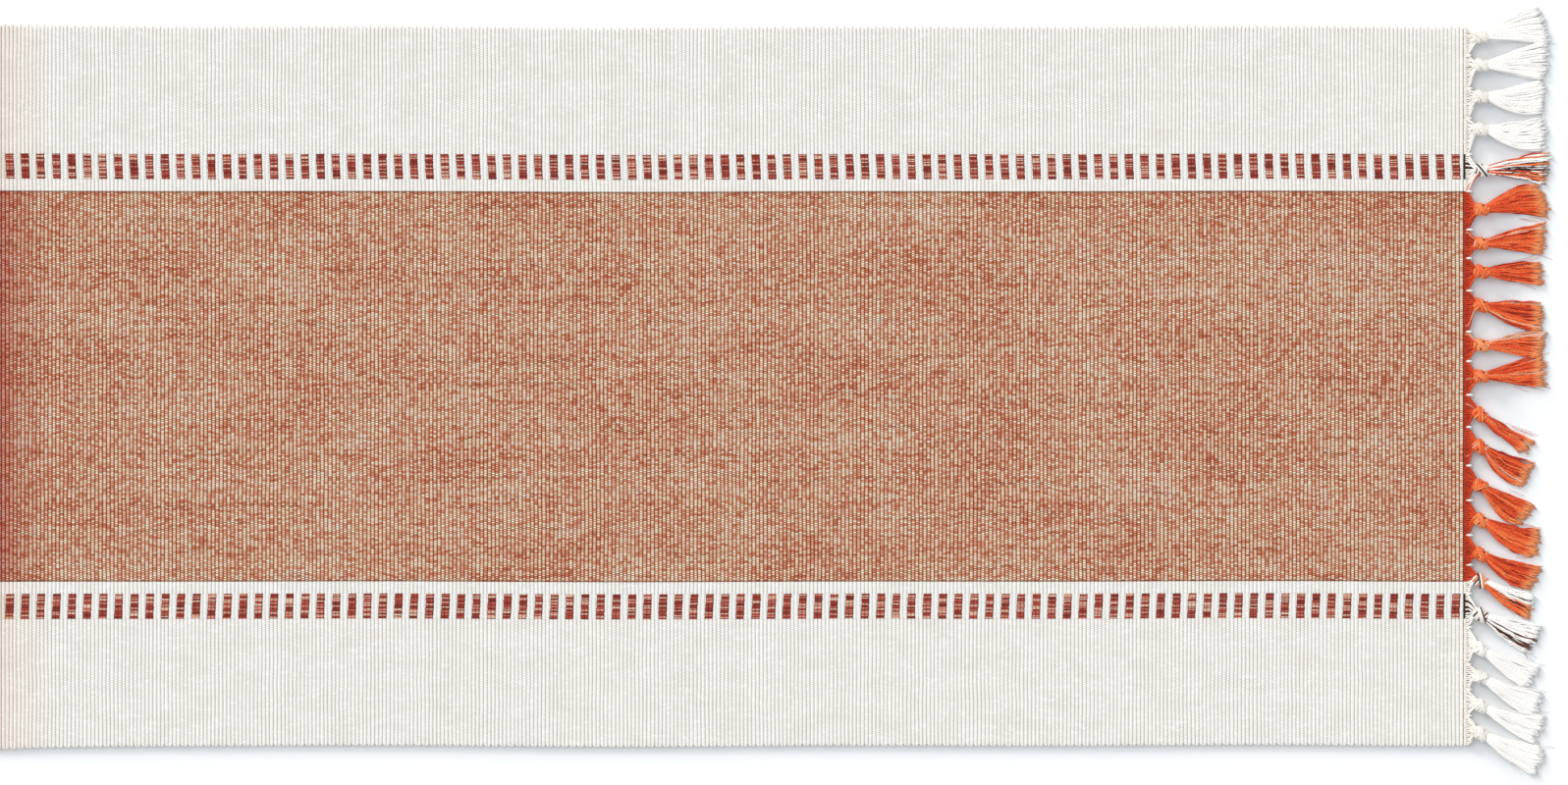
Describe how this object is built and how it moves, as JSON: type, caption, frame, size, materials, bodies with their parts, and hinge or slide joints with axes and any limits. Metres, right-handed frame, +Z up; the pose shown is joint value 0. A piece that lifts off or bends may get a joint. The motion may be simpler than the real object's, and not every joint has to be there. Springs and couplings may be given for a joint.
{
  "type": "runner rug",
  "caption": "Long flat-woven cotton runner rug with a coloured ribbed centre field, dashed stripes, white borders and knotted tassel fringe on both short ends.",
  "frame": {"origin": "middle of the underside, on the floor, at the middle of the fold line across the rug", "axes": "+X along the rug to its right end, +Y across the rug to its far edge, +Z up out of the walking face"},
  "size_m": [2.5786, 0.6374, 0.01],
  "materials": {
    "white_yarn": "warm white cotton yarn, ribbed warp-faced weave, matt",
    "dash_band_yarn": "white cotton ribs with rust red dashes, matt",
    "field_yarn": "salmon, cream and red-brown cotton yarns mixed in a ribbed weave, matt",
    "white_fringe": "loose warm white cotton yarns, soft and matt",
    "orange_fringe": "loose burnt orange cotton yarns with a soft sheen",
    "mixed_fringe": "loose white, orange and dark brown cotton yarns, soft and matt"
  },
  "bodies": {
    "right_half": {"far_border_right": "white_yarn", "far_dash_band_right": "dash_band_yarn", "far_white_line_right": "white_yarn", "field_right": "field_yarn", "near_white_line_right": "white_yarn", "near_dash_band_right": "dash_band_yarn", "near_border_right": "white_yarn"},
    "left_half": {"near_border_left": "white_yarn", "near_dash_band_left": "dash_band_yarn", "near_white_line_left": "white_yarn", "field_left": "field_yarn", "far_white_line_left": "white_yarn", "far_dash_band_left": "dash_band_yarn", "far_border_left": "white_yarn"},
    "tassel_left_01": {"tassel_left_01": "white_fringe"},
    "tassel_left_02": {"tassel_left_02": "white_fringe"},
    "tassel_left_03": {"tassel_left_03": "white_fringe"},
    "tassel_left_04": {"tassel_left_04": "white_fringe"},
    "tassel_left_05": {"tassel_left_05": "mixed_fringe"},
    "tassel_left_06": {"tassel_left_06": "mixed_fringe"},
    "tassel_left_07": {"tassel_left_07": "orange_fringe"},
    "tassel_left_08": {"tassel_left_08": "orange_fringe"},
    "tassel_left_09": {"tassel_left_09": "orange_fringe"},
    "tassel_left_10": {"tassel_left_10": "orange_fringe"},
    "tassel_left_11": {"tassel_left_11": "orange_fringe"},
    "tassel_left_12": {"tassel_left_12": "orange_fringe"},
    "tassel_left_13": {"tassel_left_13": "orange_fringe"},
    "tassel_left_14": {"tassel_left_14": "orange_fringe"},
    "tassel_left_15": {"tassel_left_15": "orange_fringe"},
    "tassel_left_16": {"tassel_left_16": "orange_fringe"},
    "tassel_left_17": {"tassel_left_17": "orange_fringe"},
    "tassel_left_18": {"tassel_left_18": "mixed_fringe"},
    "tassel_left_19": {"tassel_left_19": "white_fringe"},
    "tassel_left_20": {"tassel_left_20": "white_fringe"},
    "tassel_left_21": {"tassel_left_21": "white_fringe"},
    "tassel_left_22": {"tassel_left_22": "white_fringe"},
    "tassel_right_01": {"tassel_right_01": "white_fringe"},
    "tassel_right_02": {"tassel_right_02": "white_fringe"},
    "tassel_right_03": {"tassel_right_03": "white_fringe"},
    "tassel_right_04": {"tassel_right_04": "white_fringe"},
    "tassel_right_05": {"tassel_right_05": "mixed_fringe"},
    "tassel_right_06": {"tassel_right_06": "orange_fringe"},
    "tassel_right_07": {"tassel_right_07": "orange_fringe"},
    "tassel_right_08": {"tassel_right_08": "orange_fringe"},
    "tassel_right_09": {"tassel_right_09": "orange_fringe"},
    "tassel_right_10": {"tassel_right_10": "orange_fringe"},
    "tassel_right_11": {"tassel_right_11": "orange_fringe"},
    "tassel_right_12": {"tassel_right_12": "orange_fringe"},
    "tassel_right_13": {"tassel_right_13": "orange_fringe"},
    "tassel_right_14": {"tassel_right_14": "orange_fringe"},
    "tassel_right_15": {"tassel_right_15": "orange_fringe"},
    "tassel_right_16": {"tassel_right_16": "orange_fringe"},
    "tassel_right_17": {"tassel_right_17": "mixed_fringe"},
    "tassel_right_18": {"tassel_right_18": "mixed_fringe"},
    "tassel_right_19": {"tassel_right_19": "white_fringe"},
    "tassel_right_20": {"tassel_right_20": "white_fringe"},
    "tassel_right_21": {"tassel_right_21": "white_fringe"},
    "tassel_right_22": {"tassel_right_22": "white_fringe"}
  },
  "joints": [
    {"name": "mid_fold", "type": "hinge", "parent": "right_half", "child": "left_half", "pos_m": [0, 0, 0.0033], "axis": [0, 1, 0], "range_deg": [0, 179.3]},
    {"name": "right_fringe_sweep", "type": "hinge", "parent": "right_half", "child": "tassel_right_12", "pos_m": [1.228, -0.0195, 0.0015], "axis": [0, 0, 1], "range_deg": [-10, 20]},
    {"name": "tassel_right_01_sweep", "type": "hinge", "parent": "right_half", "child": "tassel_right_01", "pos_m": [1.228, 0.29075, 0.0015], "axis": [0, 0, 1], "range_deg": [-10, 20]},
    {"name": "tassel_right_02_sweep", "type": "hinge", "parent": "right_half", "child": "tassel_right_02", "pos_m": [1.228, 0.26775, 0.0015], "axis": [0, 0, 1], "range_deg": [-10, 20]},
    {"name": "tassel_right_03_sweep", "type": "hinge", "parent": "right_half", "child": "tassel_right_03", "pos_m": [1.228, 0.242, 0.0015], "axis": [0, 0, 1], "range_deg": [-10, 20]},
    {"name": "tassel_right_04_sweep", "type": "hinge", "parent": "right_half", "child": "tassel_right_04", "pos_m": [1.228, 0.215, 0.0015], "axis": [0, 0, 1], "range_deg": [-10, 20]},
    {"name": "tassel_right_05_sweep", "type": "hinge", "parent": "right_half", "child": "tassel_right_05", "pos_m": [1.228, 0.1805, 0.0015], "axis": [0, 0, 1], "range_deg": [-10, 20]},
    {"name": "tassel_right_06_sweep", "type": "hinge", "parent": "right_half", "child": "tassel_right_06", "pos_m": [1.228, 0.147, 0.0015], "axis": [0, 0, 1], "range_deg": [-10, 20]},
    {"name": "tassel_right_07_sweep", "type": "hinge", "parent": "right_half", "child": "tassel_right_07", "pos_m": [1.228, 0.119, 0.0015], "axis": [0, 0, 1], "range_deg": [-10, 20]},
    {"name": "tassel_right_08_sweep", "type": "hinge", "parent": "right_half", "child": "tassel_right_08", "pos_m": [1.228, 0.096, 0.0015], "axis": [0, 0, 1], "range_deg": [-10, 20]},
    {"name": "tassel_right_09_sweep", "type": "hinge", "parent": "right_half", "child": "tassel_right_09", "pos_m": [1.228, 0.069, 0.0015], "axis": [0, 0, 1], "range_deg": [-10, 20]},
    {"name": "tassel_right_10_sweep", "type": "hinge", "parent": "right_half", "child": "tassel_right_10", "pos_m": [1.228, 0.0345, 0.0015], "axis": [0, 0, 1], "range_deg": [-10, 20]},
    {"name": "tassel_right_11_sweep", "type": "hinge", "parent": "right_half", "child": "tassel_right_11", "pos_m": [1.228, 0.008, 0.0015], "axis": [0, 0, 1], "range_deg": [-10, 20]},
    {"name": "tassel_right_13_sweep", "type": "hinge", "parent": "right_half", "child": "tassel_right_13", "pos_m": [1.228, -0.047, 0.0015], "axis": [0, 0, 1], "range_deg": [-10, 20]},
    {"name": "tassel_right_14_sweep", "type": "hinge", "parent": "right_half", "child": "tassel_right_14", "pos_m": [1.228, -0.0795, 0.0015], "axis": [0, 0, 1], "range_deg": [-10, 20]},
    {"name": "tassel_right_15_sweep", "type": "hinge", "parent": "right_half", "child": "tassel_right_15", "pos_m": [1.228, -0.109, 0.0015], "axis": [0, 0, 1], "range_deg": [-10, 20]},
    {"name": "tassel_right_16_sweep", "type": "hinge", "parent": "right_half", "child": "tassel_right_16", "pos_m": [1.228, -0.1375, 0.0015], "axis": [0, 0, 1], "range_deg": [-10, 20]},
    {"name": "tassel_right_17_sweep", "type": "hinge", "parent": "right_half", "child": "tassel_right_17", "pos_m": [1.228, -0.159, 0.0015], "axis": [0, 0, 1], "range_deg": [-10, 20]},
    {"name": "tassel_right_18_sweep", "type": "hinge", "parent": "right_half", "child": "tassel_right_18", "pos_m": [1.228, -0.188, 0.0015], "axis": [0, 0, 1], "range_deg": [-10, 20]},
    {"name": "tassel_right_19_sweep", "type": "hinge", "parent": "right_half", "child": "tassel_right_19", "pos_m": [1.228, -0.216, 0.0015], "axis": [0, 0, 1], "range_deg": [-10, 20]},
    {"name": "tassel_right_20_sweep", "type": "hinge", "parent": "right_half", "child": "tassel_right_20", "pos_m": [1.228, -0.2395, 0.0015], "axis": [0, 0, 1], "range_deg": [-10, 20]},
    {"name": "tassel_right_21_sweep", "type": "hinge", "parent": "right_half", "child": "tassel_right_21", "pos_m": [1.228, -0.264, 0.0015], "axis": [0, 0, 1], "range_deg": [-10, 20]},
    {"name": "tassel_right_22_sweep", "type": "hinge", "parent": "right_half", "child": "tassel_right_22", "pos_m": [1.228, -0.287, 0.0015], "axis": [0, 0, 1], "range_deg": [-10, 20]},
    {"name": "left_fringe_sweep", "type": "hinge", "parent": "left_half", "child": "tassel_left_11", "pos_m": [-1.228, 0.0195, 0.0015], "axis": [0, 0, 1], "range_deg": [-10, 20]},
    {"name": "tassel_left_01_sweep", "type": "hinge", "parent": "left_half", "child": "tassel_left_01", "pos_m": [-1.228, 0.287, 0.0015], "axis": [0, 0, 1], "range_deg": [-10, 20]},
    {"name": "tassel_left_02_sweep", "type": "hinge", "parent": "left_half", "child": "tassel_left_02", "pos_m": [-1.228, 0.264, 0.0015], "axis": [0, 0, 1], "range_deg": [-10, 20]},
    {"name": "tassel_left_03_sweep", "type": "hinge", "parent": "left_half", "child": "tassel_left_03", "pos_m": [-1.228, 0.2395, 0.0015], "axis": [0, 0, 1], "range_deg": [-10, 20]},
    {"name": "tassel_left_04_sweep", "type": "hinge", "parent": "left_half", "child": "tassel_left_04", "pos_m": [-1.228, 0.216, 0.0015], "axis": [0, 0, 1], "range_deg": [-10, 20]},
    {"name": "tassel_left_05_sweep", "type": "hinge", "parent": "left_half", "child": "tassel_left_05", "pos_m": [-1.228, 0.188, 0.0015], "axis": [0, 0, 1], "range_deg": [-10, 20]},
    {"name": "tassel_left_06_sweep", "type": "hinge", "parent": "left_half", "child": "tassel_left_06", "pos_m": [-1.228, 0.159, 0.0015], "axis": [0, 0, 1], "range_deg": [-10, 20]},
    {"name": "tassel_left_07_sweep", "type": "hinge", "parent": "left_half", "child": "tassel_left_07", "pos_m": [-1.228, 0.1375, 0.0015], "axis": [0, 0, 1], "range_deg": [-10, 20]},
    {"name": "tassel_left_08_sweep", "type": "hinge", "parent": "left_half", "child": "tassel_left_08", "pos_m": [-1.228, 0.109, 0.0015], "axis": [0, 0, 1], "range_deg": [-10, 20]},
    {"name": "tassel_left_09_sweep", "type": "hinge", "parent": "left_half", "child": "tassel_left_09", "pos_m": [-1.228, 0.0795, 0.0015], "axis": [0, 0, 1], "range_deg": [-10, 20]},
    {"name": "tassel_left_10_sweep", "type": "hinge", "parent": "left_half", "child": "tassel_left_10", "pos_m": [-1.228, 0.047, 0.0015], "axis": [0, 0, 1], "range_deg": [-10, 20]},
    {"name": "tassel_left_12_sweep", "type": "hinge", "parent": "left_half", "child": "tassel_left_12", "pos_m": [-1.228, -0.008, 0.0015], "axis": [0, 0, 1], "range_deg": [-10, 20]},
    {"name": "tassel_left_13_sweep", "type": "hinge", "parent": "left_half", "child": "tassel_left_13", "pos_m": [-1.228, -0.0345, 0.0015], "axis": [0, 0, 1], "range_deg": [-10, 20]},
    {"name": "tassel_left_14_sweep", "type": "hinge", "parent": "left_half", "child": "tassel_left_14", "pos_m": [-1.228, -0.069, 0.0015], "axis": [0, 0, 1], "range_deg": [-10, 20]},
    {"name": "tassel_left_15_sweep", "type": "hinge", "parent": "left_half", "child": "tassel_left_15", "pos_m": [-1.228, -0.096, 0.0015], "axis": [0, 0, 1], "range_deg": [-10, 20]},
    {"name": "tassel_left_16_sweep", "type": "hinge", "parent": "left_half", "child": "tassel_left_16", "pos_m": [-1.228, -0.119, 0.0015], "axis": [0, 0, 1], "range_deg": [-10, 20]},
    {"name": "tassel_left_17_sweep", "type": "hinge", "parent": "left_half", "child": "tassel_left_17", "pos_m": [-1.228, -0.147, 0.0015], "axis": [0, 0, 1], "range_deg": [-10, 20]},
    {"name": "tassel_left_18_sweep", "type": "hinge", "parent": "left_half", "child": "tassel_left_18", "pos_m": [-1.228, -0.1805, 0.0015], "axis": [0, 0, 1], "range_deg": [-10, 20]},
    {"name": "tassel_left_19_sweep", "type": "hinge", "parent": "left_half", "child": "tassel_left_19", "pos_m": [-1.228, -0.215, 0.0015], "axis": [0, 0, 1], "range_deg": [-10, 20]},
    {"name": "tassel_left_20_sweep", "type": "hinge", "parent": "left_half", "child": "tassel_left_20", "pos_m": [-1.228, -0.242, 0.0015], "axis": [0, 0, 1], "range_deg": [-10, 20]},
    {"name": "tassel_left_21_sweep", "type": "hinge", "parent": "left_half", "child": "tassel_left_21", "pos_m": [-1.228, -0.26775, 0.0015], "axis": [0, 0, 1], "range_deg": [-10, 20]},
    {"name": "tassel_left_22_sweep", "type": "hinge", "parent": "left_half", "child": "tassel_left_22", "pos_m": [-1.228, -0.29075, 0.0015], "axis": [0, 0, 1], "range_deg": [-10, 20]}
  ],
  "couplings": [
    {"joint": "tassel_right_01_sweep", "follows": "right_fringe_sweep", "ratio": 1},
    {"joint": "tassel_right_02_sweep", "follows": "right_fringe_sweep", "ratio": 1},
    {"joint": "tassel_right_03_sweep", "follows": "right_fringe_sweep", "ratio": 1},
    {"joint": "tassel_right_04_sweep", "follows": "right_fringe_sweep", "ratio": 1},
    {"joint": "tassel_right_05_sweep", "follows": "right_fringe_sweep", "ratio": 1},
    {"joint": "tassel_right_06_sweep", "follows": "right_fringe_sweep", "ratio": 1},
    {"joint": "tassel_right_07_sweep", "follows": "right_fringe_sweep", "ratio": 1},
    {"joint": "tassel_right_08_sweep", "follows": "right_fringe_sweep", "ratio": 1},
    {"joint": "tassel_right_09_sweep", "follows": "right_fringe_sweep", "ratio": 1},
    {"joint": "tassel_right_10_sweep", "follows": "right_fringe_sweep", "ratio": 1},
    {"joint": "tassel_right_11_sweep", "follows": "right_fringe_sweep", "ratio": 1},
    {"joint": "tassel_right_13_sweep", "follows": "right_fringe_sweep", "ratio": 1},
    {"joint": "tassel_right_14_sweep", "follows": "right_fringe_sweep", "ratio": 1},
    {"joint": "tassel_right_15_sweep", "follows": "right_fringe_sweep", "ratio": 1},
    {"joint": "tassel_right_16_sweep", "follows": "right_fringe_sweep", "ratio": 1},
    {"joint": "tassel_right_17_sweep", "follows": "right_fringe_sweep", "ratio": 1},
    {"joint": "tassel_right_18_sweep", "follows": "right_fringe_sweep", "ratio": 1},
    {"joint": "tassel_right_19_sweep", "follows": "right_fringe_sweep", "ratio": 1},
    {"joint": "tassel_right_20_sweep", "follows": "right_fringe_sweep", "ratio": 1},
    {"joint": "tassel_right_21_sweep", "follows": "right_fringe_sweep", "ratio": 1},
    {"joint": "tassel_right_22_sweep", "follows": "right_fringe_sweep", "ratio": 1},
    {"joint": "tassel_left_01_sweep", "follows": "left_fringe_sweep", "ratio": 1},
    {"joint": "tassel_left_02_sweep", "follows": "left_fringe_sweep", "ratio": 1},
    {"joint": "tassel_left_03_sweep", "follows": "left_fringe_sweep", "ratio": 1},
    {"joint": "tassel_left_04_sweep", "follows": "left_fringe_sweep", "ratio": 1},
    {"joint": "tassel_left_05_sweep", "follows": "left_fringe_sweep", "ratio": 1},
    {"joint": "tassel_left_06_sweep", "follows": "left_fringe_sweep", "ratio": 1},
    {"joint": "tassel_left_07_sweep", "follows": "left_fringe_sweep", "ratio": 1},
    {"joint": "tassel_left_08_sweep", "follows": "left_fringe_sweep", "ratio": 1},
    {"joint": "tassel_left_09_sweep", "follows": "left_fringe_sweep", "ratio": 1},
    {"joint": "tassel_left_10_sweep", "follows": "left_fringe_sweep", "ratio": 1},
    {"joint": "tassel_left_12_sweep", "follows": "left_fringe_sweep", "ratio": 1},
    {"joint": "tassel_left_13_sweep", "follows": "left_fringe_sweep", "ratio": 1},
    {"joint": "tassel_left_14_sweep", "follows": "left_fringe_sweep", "ratio": 1},
    {"joint": "tassel_left_15_sweep", "follows": "left_fringe_sweep", "ratio": 1},
    {"joint": "tassel_left_16_sweep", "follows": "left_fringe_sweep", "ratio": 1},
    {"joint": "tassel_left_17_sweep", "follows": "left_fringe_sweep", "ratio": 1},
    {"joint": "tassel_left_18_sweep", "follows": "left_fringe_sweep", "ratio": 1},
    {"joint": "tassel_left_19_sweep", "follows": "left_fringe_sweep", "ratio": 1},
    {"joint": "tassel_left_20_sweep", "follows": "left_fringe_sweep", "ratio": 1},
    {"joint": "tassel_left_21_sweep", "follows": "left_fringe_sweep", "ratio": 1},
    {"joint": "tassel_left_22_sweep", "follows": "left_fringe_sweep", "ratio": 1}
  ]
}
